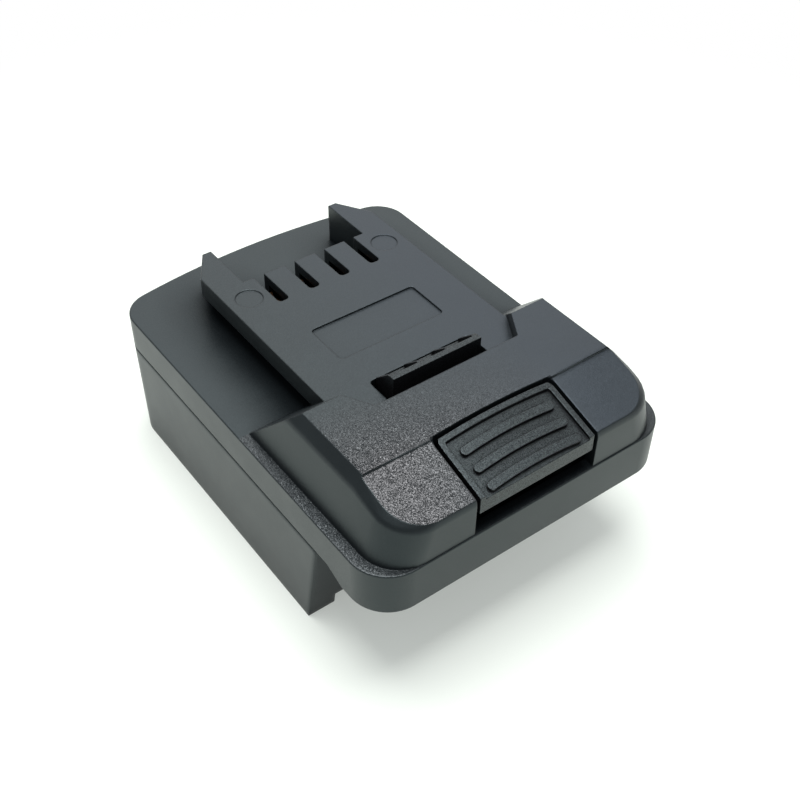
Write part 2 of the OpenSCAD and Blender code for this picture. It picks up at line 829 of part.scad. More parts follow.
// A lead from a clip's tail back and down to a blade's tail
module lead(x, d, tint) {
    y0 = tail_y + tail_t;
    y1 = blade_end - blade_tail_l;
    drop = lead_top - lead_low;
    stations = [0, 0.12, 0.26, 0.38, 0.5, 0.62, 0.74, 0.88, 1];
    falls = [0, 0, 0.08, 0.26, 0.5, 0.74, 0.92, 1, 1];
    path = [for (i = [0:len(stations) - 1]) [x, y0 + (y1 - y0) * stations[i], lead_top - drop * falls[i]]];
    color(tint) place() tube(path, d / 2, 8);
}

module positive_lead() {
    lead(clip_x[0], lead_d, [0.70, 0.08, 0.06]);
}

module signal_lead_left() {
    lead(clip_x[1], signal_d, [0.85, 0.75, 0.15]);
}

module signal_lead_right() {
    lead(clip_x[2], signal_d, [0.86, 0.86, 0.84]);
}

module negative_lead() {
    lead(clip_x[3], lead_d, [0.08, 0.08, 0.09]);
}

// A pan head tapping screw, head down, with a cross recess
module screw(d, head_d, h, l) {
    difference() {
        union() {
            translate([0, 0, -h]) cylinder(d = head_d, h = h);
            translate([0, 0, -eps]) cylinder(d = d, h = l - 1.5 + eps);
            translate([0, 0, l - 1.5]) cylinder(d1 = d, d2 = 0.8, h = 1.5);
        }
        for (a = [0, 90])
            rotate([0, 0, a]) translate([-head_d * 0.3, -0.35, -h - 1]) cube([head_d * 0.6, 0.7, 2.1]);
    }
}

module housing_screws() {
    color([0.45, 0.46, 0.48]) place() both_sides() {
        translate([front_screw[0], front_screw[1], front_seat_z])
            screw(screw_d, screw_head_d, head_h, screw_l);
        translate([rear_screw[0], rear_screw[1], rear_seat_z])
            screw(screw_d, screw_head_d, head_h, screw_l);
    }
}

module carrier_screws() {
    color([0.45, 0.46, 0.48]) place() both_sides()
        translate([carrier_screw[0], carrier_screw[1], carrier_z])
            screw(carrier_screw_d, carrier_head_d, carrier_head_h, carrier_screw_l);
}

upper_housing();
lower_housing();
release_latch();
latch_spring_left();
latch_spring_right();
clip_carrier();
positive_clip();
signal_clip_left();
signal_clip_right();
negative_clip();
blade_carrier();
positive_blade();
signal_blade_left();
signal_blade_right();
negative_blade();
positive_lead();
signal_lead_left();
signal_lead_right();
negative_lead();
housing_screws();
carrier_screws();
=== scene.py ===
# Slide-on battery adapter for a cordless tool: finishes, fine shapes, light and camera.
import math

import bmesh
import bpy
from mathutils import Matrix, Vector


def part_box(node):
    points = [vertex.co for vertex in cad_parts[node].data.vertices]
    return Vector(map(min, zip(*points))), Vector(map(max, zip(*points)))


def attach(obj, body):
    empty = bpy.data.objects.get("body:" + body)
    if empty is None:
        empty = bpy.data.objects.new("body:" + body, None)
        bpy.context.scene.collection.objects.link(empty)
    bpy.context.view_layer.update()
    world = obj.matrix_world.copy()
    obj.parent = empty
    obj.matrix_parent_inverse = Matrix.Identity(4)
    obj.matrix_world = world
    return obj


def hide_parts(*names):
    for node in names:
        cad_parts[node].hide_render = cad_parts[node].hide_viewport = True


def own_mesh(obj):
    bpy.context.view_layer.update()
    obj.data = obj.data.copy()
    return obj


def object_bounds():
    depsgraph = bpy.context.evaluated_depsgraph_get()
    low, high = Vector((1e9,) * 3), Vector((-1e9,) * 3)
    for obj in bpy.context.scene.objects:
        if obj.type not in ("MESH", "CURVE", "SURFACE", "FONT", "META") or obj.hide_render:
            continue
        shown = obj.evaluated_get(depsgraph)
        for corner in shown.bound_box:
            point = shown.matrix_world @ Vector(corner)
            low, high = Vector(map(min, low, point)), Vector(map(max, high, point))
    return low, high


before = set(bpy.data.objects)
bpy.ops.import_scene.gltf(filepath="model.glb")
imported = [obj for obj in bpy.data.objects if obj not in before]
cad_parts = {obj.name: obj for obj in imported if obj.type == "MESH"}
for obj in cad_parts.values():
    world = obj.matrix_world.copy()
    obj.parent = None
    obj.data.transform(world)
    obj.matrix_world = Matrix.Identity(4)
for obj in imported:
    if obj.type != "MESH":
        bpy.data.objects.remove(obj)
cad_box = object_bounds()

# Lower housing
# The tray that takes the battery: one injection moulding in black glass-filled nylon,
# with a polished-then-blasted mould that leaves a smooth satin skin. Four screws hold it.
mm = 0.001
moulded_edge = 0.28 * mm
same_point = 0.002 * mm
same_plane = math.radians(0.6)
same_level = 0.1 * mm
outline_slack = 0.05 * mm
upright_most = 0.1
level_least = 0.9


def outer_edge(shape, line):
    """True where an edge lies on the outside of the plan, between a wall and a level face."""
    wall, level = sorted(line.link_faces, key=lambda face: abs(face.normal.z))
    if abs(wall.normal.z) > upright_most or abs(level.normal.z) < level_least:
        return False
    start = line.verts[0].co
    beside = (corner.co for corner in shape.verts if abs(corner.co.z - start.z) < same_level)
    reach = max(place.dot(wall.normal) for place in beside)
    return start.dot(wall.normal) > reach - outline_slack


def softened(node, skin, edge, least_angle, rounding=None):
    """A copy of a CAD node with its corners rounded as a mould leaves them, in a material.

    A rounding rule gives each edge a width of its own, up to edge; else all have that one."""
    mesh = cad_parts[node].data.copy()
    shape = bmesh.new()
    shape.from_mesh(mesh)
    bmesh.ops.remove_doubles(shape, verts=shape.verts, dist=same_point)
    bmesh.ops.dissolve_degenerate(shape, dist=same_point, edges=shape.edges)
    bmesh.ops.dissolve_limit(shape, angle_limit=same_plane, verts=shape.verts, edges=shape.edges)
    for face in shape.faces:
        face.smooth = True
    if rounding:
        weight = shape.edges.layers.float.new("bevel_weight_edge")
        for line in shape.edges:
            if line.is_manifold and line.calc_face_angle() > math.radians(least_angle):
                line[weight] = rounding(shape, line) / edge
                line.smooth = line[weight] > 0
    shape.to_mesh(mesh)
    shape.free()
    piece = bpy.data.objects.new(node + "_moulding", mesh)
    bpy.context.scene.collection.objects.link(piece)
    bevel = piece.modifiers.new("rounded corners", "BEVEL")
    bevel.width = edge
    bevel.segments = 3 if rounding else 2
    bevel.limit_method = "WEIGHT" if rounding else "ANGLE"
    bevel.angle_limit = math.radians(least_angle)
    bevel.use_clamp_overlap = not rounding
    bevel.miter_outer = "MITER_ARC"
    weighted = piece.modifiers.new("even shading", "WEIGHTED_NORMAL")
    weighted.keep_sharp = True
    weighted.weight = 90
    finished(piece)
    piece.data.materials.clear()
    piece.data.materials.append(skin)
    return piece


def finished(piece):
    """Turns the modifiers into a plain mesh that shades smoothly."""
    graph = bpy.context.evaluated_depsgraph_get()
    mesh = bpy.data.meshes.new_from_object(piece.evaluated_get(graph))
    piece.modifiers.clear()
    piece.data = mesh
    for face in mesh.polygons:
        face.use_smooth = True
    return piece


def linear(code):
    """A colour written as sRGB hex, in the linear values that Blender works with."""
    parts = [int(code[i:i + 2], 16) / 255 for i in (1, 3, 5)]
    return [p / 12.92 if p <= 0.04045 else ((p + 0.055) / 1.055) ** 2.4 for p in parts] + [1.0]


def add(tree, kind, settings=None, **inputs):
    """Adds a node, sets its settings, and links or fills its inputs by name."""
    node = tree.nodes.new(kind)
    for key, value in (settings or {}).items():
        setattr(node, key, value)
    for key, value in inputs.items():
        name = key.replace("_", " ")
        socket = node.inputs[int(key[1:])] if key[1:].isdigit() else node.inputs[name]
        if isinstance(value, bpy.types.NodeSocket):
            tree.links.new(value, socket)
        else:
            socket.default_value = value
    return node


def plain_material(name, colour):
    """A material with its Principled shader and Object coordinates ready."""
    material = bpy.data.materials.new(name)
    material.use_nodes = True
    material.diffuse_color = linear(colour)
    tree = material.node_tree
    shader = tree.nodes["Principled BSDF"]
    shader.inputs["Base Color"].default_value = linear(colour)
    place = tree.nodes.new("ShaderNodeTexCoord").outputs["Object"]
    return material, tree, shader, place


# Painted light colour: a cool tint on every plastic's reflection, standing in for the cool light
painted_cool_reflection = "#e2f6fa"
cloud_size = 9 * mm
grain_depth = 0.02 * mm
sheen_spread = 0.02
corner_shade_fall = 0.5
corner_shade_shine = 0.05


def satin_nylon(
    name, colour, tone, rough, grain,
    corner=0.22 * mm, shine_most=0.5, reach=0.9 * mm, open_share=0.85,
):
    """Black glass-filled nylon from a blasted mould: dark, satin, with faint clouding.

    The eye sees an even dark skin, a soft sheen, and a very fine grain when close; shade is
    painted into the sheen in the corners by an occlusion node. Corner is how far an edge looks
    rounded, reach how far the painted corner shade spreads."""
    material, tree, shader, place = plain_material(name, colour)
    cloud = add(
        tree, "ShaderNodeTexNoise", Vector=place, Scale=1 / cloud_size, Detail=4.0, Roughness=0.6
    )
    shade = add(tree, "ShaderNodeMix", {"data_type": "RGBA"}, Factor=cloud.outputs["Fac"])
    shade.inputs[6].default_value = linear(colour)
    shade.inputs[7].default_value = linear(tone)
    tree.links.new(shade.outputs[2], shader.inputs["Base Color"])
    fine = add(tree, "ShaderNodeTexNoise", Vector=place, Scale=1 / grain, Detail=2.0)
    sheen = add(
        tree, "ShaderNodeMapRange", Value=cloud.outputs["Fac"],
        From_Min=0.3, From_Max=0.7, To_Min=rough - sheen_spread, To_Max=rough + sheen_spread,
    )
    tree.links.new(sheen.outputs[0], shader.inputs["Roughness"])
    worn = add(tree, "ShaderNodeBevel", {"samples": 6}, Radius=corner)
    bump = add(
        tree, "ShaderNodeBump", Height=fine.outputs["Fac"], Strength=0.5, Distance=grain_depth,
        Normal=worn.outputs[0],
    )
    tree.links.new(bump.outputs["Normal"], shader.inputs["Normal"])
    shader.inputs["IOR"].default_value = 1.5
    # Painted shade: an occlusion node dims the sheen in corners and hollows, as far as reach.
    painted_corner_shade = add(tree, "ShaderNodeAmbientOcclusion", {"samples": 8}, Distance=reach)
    shine = add(
        tree, "ShaderNodeMapRange", Value=painted_corner_shade.outputs["AO"],
        From_Min=open_share - corner_shade_fall, From_Max=open_share,
        To_Min=corner_shade_shine, To_Max=shine_most,
    )
    tree.links.new(shine.outputs[0], shader.inputs["Specular IOR Level"])
    # The reflection takes the painted cool tint of the light.
    shader.inputs["Specular Tint"].default_value = linear(painted_cool_reflection)
    return material, tree, shader, place


housing_black = "#101315"
housing_tone = "#15191b"
housing_rough = 0.38
satin_grain = 0.35 * mm
# Its long reach paints shade into the sheen low on the walls, on the legs' ends under the skirt and
# inside the tray.
lower_skin = satin_nylon(
    "black_nylon_satin_lower", housing_black, housing_tone, housing_rough, satin_grain,
    corner=2.0 * mm, reach=30 * mm, open_share=0.65,
)[0]
housing_least_angle = 14
lower = softened("lower_housing", lower_skin, moulded_edge, housing_least_angle)
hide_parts("lower_housing")
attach(lower, "housing")

# Blade carrier
# The insulating block that hangs through the deck between the battery's ears.
# Moulded in black PBT, slightly glossier than the housing, and trapped by two posts.
carrier_edge = 0.25 * mm
sharp_least_angle = 30
carrier_skin = satin_nylon("black_pbt_moulded", "#101113", "#151719", 0.38, 0.4 * mm)[0]
blade_block = softened("blade_carrier", carrier_skin, carrier_edge, sharp_least_angle)
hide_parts("blade_carrier")
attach(blade_block, "housing")

# Battery blades
# Four flat stampings in tin-plated brass, with rolled grain along their length and
# coined edges. Each is pushed into the blade carrier and its tail takes a lead.
stamped_edge = 0.12 * mm
streak_ratio = 40
streak_spread = 0.06
streak_depth = 0.01 * mm


def rolled_metal(name, colour, tone, rough, grain, along):
    """A rolled strip: bright metal with fine lines along the rolling direction.

    The eye sees a soft streaked reflection and slightly darker bands."""
    material, tree, shader, place = plain_material(name, colour)
    stretch = [1 / (streak_ratio * grain) if axis == along else 1 / grain for axis in "XYZ"]
    lines = add(tree, "ShaderNodeMapping", Vector=place, Scale=stretch)
    streak = add(
        tree, "ShaderNodeTexNoise", Vector=lines.outputs["Vector"], Scale=1.0, Detail=3.0
    )
    shade = add(tree, "ShaderNodeMix", {"data_type": "RGBA"}, Factor=streak.outputs["Fac"])
    shade.inputs[6].default_value = linear(colour)
    shade.inputs[7].default_value = linear(tone)
    tree.links.new(shade.outputs[2], shader.inputs["Base Color"])
    spread = add(
        tree, "ShaderNodeMapRange", Value=streak.outputs["Fac"],
        From_Min=0.3, From_Max=0.7, To_Min=rough - streak_spread, To_Max=rough + streak_spread,
    )
    tree.links.new(spread.outputs[0], shader.inputs["Roughness"])
    bump = add(
        tree, "ShaderNodeBump", Height=streak.outputs["Fac"], Strength=0.3, Distance=streak_depth
    )
    tree.links.new(bump.outputs["Normal"], shader.inputs["Normal"])
    shader.inputs["Metallic"].default_value = 1.0
    return material


tinned_brass = rolled_metal("tinned_brass_rolled", "#cfc8b8", "#b9b09a", 0.3, 0.15 * mm, "Y")
for blade_name in ("positive_blade", "signal_blade_left", "signal_blade_right", "negative_blade"):
    blade = softened(blade_name, tinned_brass, stamped_edge, sharp_least_angle)
    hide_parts(blade_name)
    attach(blade, "housing")

# Clip carrier
# The block inside the rail that holds the spring clips under their slots.
# Moulded in black PBT with thin walls between the clips, screwed up from below.
clip_block = softened("clip_carrier", carrier_skin, carrier_edge, sharp_least_angle)
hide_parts("clip_carrier")
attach(clip_block, "housing")

# Spring clips
# Folded strips of phosphor bronze whose two leaves pinch a blade of the tool.
# Rolled strip in a brown far darker than bare bronze: the brown is the metal's, the darkness
# painted shade, so that the slots stay dark from above.
bronze_darkened_as_shade = rolled_metal(
    "phosphor_bronze_rolled", "#4a3523", "#3a2818", 0.46, 0.15 * mm, "Y"
)
for clip_name in ("positive_clip", "signal_clip_left", "signal_clip_right", "negative_clip"):
    clip = softened(clip_name, bronze_darkened_as_shade, stamped_edge, sharp_least_angle)
    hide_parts(clip_name)
    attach(clip, "housing")

# Leads
# Stranded copper wires in silicone insulation, soldered between each clip's tail and
# its blade's tail. Soft, matt and slightly dusty; the colours tell the poles apart.
lead_sides = 24
lead_steps = 48
lead_inside = 0.99
dust_size = 1.5 * mm
dust_depth = 0.05 * mm


def silicone(name, colour, tone):
    """Extruded silicone rubber: matt, a little waxy, with faint dust clouds."""
    material, tree, shader, place = plain_material(name, colour)
    dust = add(tree, "ShaderNodeTexNoise", Vector=place, Scale=1 / dust_size, Detail=3.0)
    shade = add(tree, "ShaderNodeMix", {"data_type": "RGBA"}, Factor=dust.outputs["Fac"])
    shade.inputs[6].default_value = linear(colour)
    shade.inputs[7].default_value = linear(tone)
    tree.links.new(shade.outputs[2], shader.inputs["Base Color"])
    bump = add(
        tree, "ShaderNodeBump", Height=dust.outputs["Fac"], Strength=0.2, Distance=dust_depth
    )
    tree.links.new(bump.outputs["Normal"], shader.inputs["Normal"])
    shader.inputs["Roughness"].default_value = 0.55
    shader.inputs["IOR"].default_value = 1.41
    return material


def swept(name, material):
    """A Geometry Nodes tree that sweeps a round section along a path, with closed ends."""
    tree = bpy.data.node_groups.new(name, "GeometryNodeTree")
    face = tree.interface
    face.new_socket("Path", in_out="INPUT", socket_type="NodeSocketGeometry")
    radius = face.new_socket("Radius", in_out="INPUT", socket_type="NodeSocketFloat")
    sides = face.new_socket("Sides", in_out="INPUT", socket_type="NodeSocketInt")
    face.new_socket("Tube", in_out="OUTPUT", socket_type="NodeSocketGeometry")
    given = tree.nodes.new("NodeGroupInput").outputs
    section = add(
        tree, "GeometryNodeCurvePrimitiveCircle", Radius=given["Radius"], Resolution=given["Sides"]
    )
    line = add(tree, "GeometryNodeMeshToCurve", Mesh=given["Path"])
    skin = add(
        tree, "GeometryNodeCurveToMesh", Curve=line.outputs[0],
        Profile_Curve=section.outputs["Curve"], Fill_Caps=True,
    )
    smooth = add(tree, "GeometryNodeSetShadeSmooth", Geometry=skin.outputs["Mesh"])
    real = add(tree, "GeometryNodeRealizeInstances", Geometry=smooth.outputs[0])
    coat = add(tree, "GeometryNodeSetMaterial", Geometry=real.outputs[0], Material=material)
    add(tree, "NodeGroupOutput", Tube=coat.outputs[0])
    return tree, radius.identifier, sides.identifier


def tube(name, points, thickness, sides, material):
    """One unbroken round tube along a path of points."""
    path = bpy.data.meshes.new(name)
    path.from_pydata(points, [(i, i + 1) for i in range(len(points) - 1)], [])
    piece = bpy.data.objects.new(name, path)
    bpy.context.scene.collection.objects.link(piece)
    tree, radius_input, sides_input = swept(name + "_sweep", material)
    sweep = piece.modifiers.new("sweep", "NODES")
    sweep.node_group = tree
    sweep[radius_input] = thickness / 2
    sweep[sides_input] = sides
    return finished(piece)


def eased(points, count):
    """Points along a smooth line through a few given ones."""
    last = len(points) - 1
    line = []
    for step in range(count + 1):
        at = step / count * last
        i = min(int(at), last - 1)
        t = at - i
        a, b = points[i], points[i + 1]
        before, after = points[max(i - 1, 0)], points[min(i + 2, last)]
        line.append(0.5 * (
            2 * a + (b - before) * t + (2 * before - 5 * a + 4 * b - after) * t * t
            + (3 * a - before - 3 * b + after) * t ** 3
        ))
    return line


lead_kinds = {
    "positive_lead": ("lead_red", silicone("red_silicone_extruded", "#a3190f", "#b52a1c")),
    "signal_lead_left": ("lead_yellow", silicone("yellow_silicone_extruded", "#c8a01c", "#d8b43a")),
    "signal_lead_right": ("lead_white", silicone("white_silicone_extruded", "#d6d4cc", "#c8c5bb")),
    "negative_lead": ("lead_black", silicone("black_silicone_extruded", "#1c1d1f", "#28292b")),
}
lead_stations = (0, 0.12, 0.26, 0.38, 0.5, 0.62, 0.74, 0.88, 1)
lead_falls = (0, 0, 0.08, 0.26, 0.5, 0.74, 0.92, 1, 1)
for lead_name, (lead_slot, lead_skin) in lead_kinds.items():
    low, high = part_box(lead_name)
    thickness = high.x - low.x
    start_z = high.z - thickness / 2
    fall = high.z - low.z - thickness
    middle_x = (low.x + high.x) / 2
    route = [
        Vector((middle_x, low.y + (high.y - low.y) * along, start_z - fall * down))
        for along, down in zip(lead_stations, lead_falls)
    ]
    line = eased(route, lead_steps)
    lead = tube(lead_name + "_silicone", line, thickness * lead_inside, lead_sides, lead_skin)
    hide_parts(lead_name)
    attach(lead, "housing")

# Latch springs
# Two cold-coiled compression springs in drawn steel wire, with closed end turns.
# They sit on pins of the lower housing, push the latch's bridge up and shorten as it is pressed.
spring_turns = 5
spring_wire = 0.7 * mm
spring_rings = 32
spring_sides = 12
wire_inside = 0.98
spring_steel = rolled_metal("spring_steel_drawn", "#b4b7bb", "#8f9296", 0.28, 0.12 * mm, "Z")
for spring_name in ("latch_spring_left", "latch_spring_right"):
    low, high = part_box(spring_name)
    centre = (low + high) / 2
    reach = (high.x - low.x - spring_wire) / 2
    bottom = low.z + spring_wire / 2
    rise = high.z - low.z - spring_wire
    count = spring_turns * spring_rings
    flat = spring_rings / 4
    helix = []
    for i in range(count + 1):
        turn = 2 * math.pi * i / spring_rings
        part = min(max((i - flat) / (count - 2 * flat), 0), 1)
        across = Vector((reach * math.cos(turn), reach * math.sin(turn), 0))
        helix.append(Vector((centre.x, centre.y, bottom + rise * part)) + across)
    wire = spring_wire * wire_inside
    spring = tube(spring_name + "_wire", helix, wire, spring_sides, spring_steel)
    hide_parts(spring_name)
    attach(spring, "housing")
    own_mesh(spring)

# Release latch
# Push button, bridge and gusseted hook in one acetal moulding, finer and a touch warmer
# than the housing. Its mould was spark-eroded like the hump's top, so it has a faint sparkle.
latch_edge = 0.36 * mm
latch_least_angle = 16
spark_grain = 0.15 * mm
dull_cell = 0.3
bright_cell = 1.75
# Its reach paints shade into the sheen in the button's trough, beside its ridges and round the
# hook.
latch_skin, tree, shader, place = satin_nylon(
    "black_acetal_fine_satin", "#101012", "#151516", 0.3, 0.3 * mm,
    shine_most=0.46, reach=3.2 * mm, open_share=0.98,
)
crystals = add(tree, "ShaderNodeTexVoronoi", Vector=place, Scale=1 / spark_grain)
cell = add(tree, "ShaderNodeSeparateXYZ", Vector=crystals.outputs["Color"])
cell_shine = add(
    tree, "ShaderNodeMapRange", Value=cell.outputs["Z"], To_Min=dull_cell, To_Max=bright_cell
)
satin_shine = shader.inputs["Specular IOR Level"].links[0].from_socket
sparkle = add(
    tree, "ShaderNodeMath", {"operation": "MULTIPLY"}, _0=satin_shine, _1=cell_shine.outputs[0]
)
tree.links.new(sparkle.outputs[0], shader.inputs["Specular IOR Level"])
latch = softened("release_latch", latch_skin, latch_edge, latch_least_angle)
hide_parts("release_latch")
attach(latch, "latch")

# Upper housing
# Skirt, plate, T-rail with ears, and the latch hump in one black nylon moulding.
# Most of it is satin; the hump's top and the ledge beside it are spark-eroded and glitter.
crease_y = cad_box[0].y + 15.5 * mm
hump_foot_y = cad_box[0].y + 49.5 * mm
hump_flat_end_y = cad_box[0].y + 36 * mm
plate_top = 34.5 * mm
plate_slack = 0.4 * mm
hump_top_least = 8.5 * mm
upper_corner = 0.45 * mm
# Its reach paints shade into the sheen in the corners of the hump, rail and ears.
upper_skin, tree, shader, place = satin_nylon(
    "black_nylon_satin_spark_eroded_hump", housing_black, housing_tone, housing_rough, satin_grain,
    corner=upper_corner, reach=3 * mm, open_share=0.9,
)
where = add(tree, "ShaderNodeSeparateXYZ", Vector=place)
facing = add(tree, "ShaderNodeNewGeometry")
facing_up = add(tree, "ShaderNodeSeparateXYZ", Vector=facing.outputs["True Normal"])


def compare(operation, value, limit):
    """One where a value is on the wanted side of a limit, else nought."""
    return add(tree, "ShaderNodeMath", {"operation": operation}, _0=value, _1=limit).outputs[0]


def both(first, second):
    """The product of two shares, so one only where both are one."""
    return add(tree, "ShaderNodeMath", {"operation": "MULTIPLY"}, _0=first, _1=second).outputs[0]


def either(first, second):
    """The greater of two shares."""
    return add(tree, "ShaderNodeMath", {"operation": "MAXIMUM"}, _0=first, _1=second).outputs[0]


def ranged(value, first, last, low=0.0, high=1.0):
    """A value that runs from first to last as another runs from low to high."""
    return add(
        tree, "ShaderNodeMapRange", Value=value,
        From_Min=low, From_Max=high, To_Min=first, To_Max=last,
    ).outputs[0]


# Where the grain is: all over the nose, weaker to the rear and to the right, faint on the ledge
rail_share = 0.1
ledge_share = 0.5
spark_fade_start = -24 * mm
spark_fade_end = 18 * mm
is_up = compare("GREATER_THAN", facing_up.outputs["Z"], level_least)
above_plate = compare("GREATER_THAN", where.outputs["Z"], plate_top + hump_top_least)
below_hump = compare("LESS_THAN", where.outputs["Z"], plate_top + plate_slack)
on_nose = compare("LESS_THAN", where.outputs["Y"], crease_y)
fades_back = ranged(where.outputs["Y"], 1.0, rail_share, crease_y, hump_flat_end_y)
fades_right = ranged(where.outputs["X"], 1.0, 0.0, spark_fade_start, spark_fade_end)
hump_share = both(either(on_nose, fades_back), fades_right)
on_ledge = both(
    compare("LESS_THAN", where.outputs["Y"], hump_foot_y),
    both(below_hump, compare("GREATER_THAN", where.outputs["Z"], plate_top - plate_slack)),
)
grained = either(both(above_plate, hump_share), both(on_ledge, ledge_share))
spark_area = both(grained, is_up)

# The grain itself: each crystal is a little facet with a tilt and a shine of its own
spark_tilt = 0.46
flat_share = 0.2
dark_crystal = -0.5
light_crystal = 2.7
nose_calm = 0.3
crystals = add(tree, "ShaderNodeTexVoronoi", Vector=place, Scale=1 / spark_grain)
centred = add(
    tree, "ShaderNodeVectorMath", {"operation": "SUBTRACT"},
    _0=crystals.outputs["Color"], _1=(0.5, 0.5, 0.5),
)
spark_share = ranged(spark_area, flat_share, 1.0)
tilt = both(both(spark_share, is_up), spark_tilt)
tilted = add(
    tree, "ShaderNodeVectorMath", {"operation": "SCALE"}, Vector=centred.outputs[0], Scale=tilt
)
satin_normal = shader.inputs["Normal"].links[0].from_socket
glinting = add(
    tree, "ShaderNodeVectorMath", {"operation": "ADD"}, _0=satin_normal, _1=tilted.outputs[0]
)
glint_normal = add(
    tree, "ShaderNodeVectorMath", {"operation": "NORMALIZE"}, _0=glinting.outputs[0]
)
tree.links.new(glint_normal.outputs[0], shader.inputs["Normal"])
plain_shine = shader.inputs["Specular IOR Level"].links[0].from_socket
cell = add(tree, "ShaderNodeSeparateXYZ", Vector=crystals.outputs["Color"])
cell_shine = ranged(cell.outputs["Z"], dark_crystal, light_crystal)
calmer_nose = ranged(on_nose, 1.0, nose_calm)
grainy = add(tree, "ShaderNodeMix", _0=both(spark_area, calmer_nose), _2=1.0, _3=cell_shine)

# Painted shade: the sheen is darkened on the plate beside the rail's flank, and nearly put out in
# the slot under the button
rail_reach = 14 * mm
flank_least = 0.48
button_slot_half = 15.6 * mm
slot_floor_least = plate_top + 0.1 * mm
slot_shade_share = 0.15
on_plate = both(
    compare("GREATER_THAN", where.outputs["Y"], hump_foot_y), both(is_up, below_hump)
)
from_middle = add(tree, "ShaderNodeMath", {"operation": "ABSOLUTE"}, _0=where.outputs["X"])
in_slot = both(
    compare("LESS_THAN", from_middle.outputs[0], button_slot_half),
    both(on_nose, compare("GREATER_THAN", where.outputs["Z"], slot_floor_least)),
)
# Painted shade: the slot's sheen is cut to a fixed small share.
slot_painted_shade = ranged(in_slot, 1.0, slot_shade_share)
# An occlusion node paints the flank's shade onto the plate's sheen.
flank_occlusion = add(tree, "ShaderNodeAmbientOcclusion", {"samples": 8}, Distance=rail_reach)
flank_painted_shade = ranged(flank_occlusion.outputs["AO"], 0.0, 1.0, flank_least, 1.0)
plate_shade_painted = add(tree, "ShaderNodeMix", _0=on_plate, _2=1.0, _3=flank_painted_shade)
painted_shade_shine = both(plate_shade_painted.outputs[0], slot_painted_shade)

# The right of the hump and rail: smoother, with a softer crease, and a painted highlight that makes
# the sheen there a touch brighter and bluer
right_painted_highlight = 1.15
right_painted_reflection_tint = "#d7e8f9"
soft_crease = 1.5 * mm
right_share = ranged(fades_right, 1.0, 0.0)
right_highlight_area = both(both(above_plate, is_up), right_share)
# Painted highlight: the sheen on the right is raised by a fixed gain.
right_highlight_gain = ranged(right_highlight_area, 1.0, right_painted_highlight)
seen_shine = both(both(plain_shine, grainy.outputs[0]), both(painted_shade_shine, right_highlight_gain))
tree.links.new(seen_shine, shader.inputs["Specular IOR Level"])
near_crease = both(
    compare("GREATER_THAN", where.outputs["Y"], crease_y - soft_crease),
    compare("LESS_THAN", where.outputs["Y"], crease_y + soft_crease),
)
beside_slot = both(
    above_plate, compare("GREATER_THAN", from_middle.outputs[0], button_slot_half + soft_crease)
)
crease_round = ranged(
    both(both(near_crease, beside_slot), right_share), upper_corner, soft_crease
)
corner_node = next(node for node in tree.nodes if node.bl_idname == "ShaderNodeBevel")
tree.links.new(crease_round, corner_node.inputs["Radius"])
# Painted reflection: the sheen on the right takes a bluer tint.
painted_side_tint = add(tree, "ShaderNodeMix", {"data_type": "RGBA"}, Factor=right_highlight_area)
painted_side_tint.inputs[6].default_value = linear(painted_cool_reflection)
painted_side_tint.inputs[7].default_value = linear(right_painted_reflection_tint)
spark_rough = 0.28
spark_white = "#f3f3f6"
satin_rough = shader.inputs["Roughness"].links[0].from_socket
seen_rough = add(tree, "ShaderNodeMix", _0=spark_area, _2=satin_rough, _3=spark_rough)
tree.links.new(seen_rough.outputs[0], shader.inputs["Roughness"])
spark_tint = add(tree, "ShaderNodeMix", {"data_type": "RGBA"}, Factor=spark_area)
tree.links.new(painted_side_tint.outputs[2], spark_tint.inputs[6])
spark_tint.inputs[7].default_value = linear(spark_white)
tree.links.new(spark_tint.outputs[2], shader.inputs["Specular Tint"])

# Which edges are rounded as geometry, and how much
fold_edge = 0.9 * mm
shoulder_edge = 0.8 * mm
shallow_fold = math.radians(20)
steep_fold = math.radians(60)
top_least = 0.88
hump_side_x = 27 * mm
hump_side_z = 38 * mm
hump_front_y = -50 * mm
hump_rear_y = -6 * mm
crease_riser_y = -38.6 * mm
crease_slack = 0.5 * mm
crease_least_z = 44 * mm


def upper_rounding(shape, line):
    """Wide on the hump's shallow folds and under its chamfer, narrow round the plate."""
    middle = (line.verts[0].co + line.verts[1].co) / 2
    fold = line.calc_face_angle()
    at_crease = abs(middle.y - crease_riser_y) < crease_slack and middle.z > crease_least_z
    if at_crease:
        return 0.0
    if fold < shallow_fold:
        return fold_edge
    under_top = max(face.normal.z for face in line.link_faces) < top_least
    at_side = abs(middle.x) > hump_side_x or middle.y < hump_front_y
    beside_hump = at_side and middle.z > hump_side_z and middle.y < hump_rear_y
    if under_top and beside_hump and fold < steep_fold:
        return shoulder_edge
    return moulded_edge if outer_edge(shape, line) else 0.0


upper = softened("upper_housing", upper_skin, fold_edge, housing_least_angle, upper_rounding)
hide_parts("upper_housing")
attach(upper, "housing")

# Screws
# Pan-head tapping screws in black oxide steel with a cross recess: four long ones from
# below hold the two housings together, two short ones hold the clip carrier.
oil_size = 0.8 * mm
least_rough = 0.28
most_rough = 0.45
screw_sides = 28
thread_depth = 0.24
tooth_half = 0.32
point_pitches = 2.2
point_least = 0.25
screw_skin, tree, shader, place = plain_material("steel_black_oxide", "#2b2c2f")
oil = add(tree, "ShaderNodeTexNoise", Vector=place, Scale=1 / oil_size, Detail=3.0)
oxide = add(
    tree, "ShaderNodeMapRange", Value=oil.outputs["Fac"],
    From_Min=0.3, From_Max=0.7, To_Min=least_rough, To_Max=most_rough,
)
tree.links.new(oxide.outputs[0], shader.inputs["Roughness"])
shader.inputs["Metallic"].default_value = 1.0


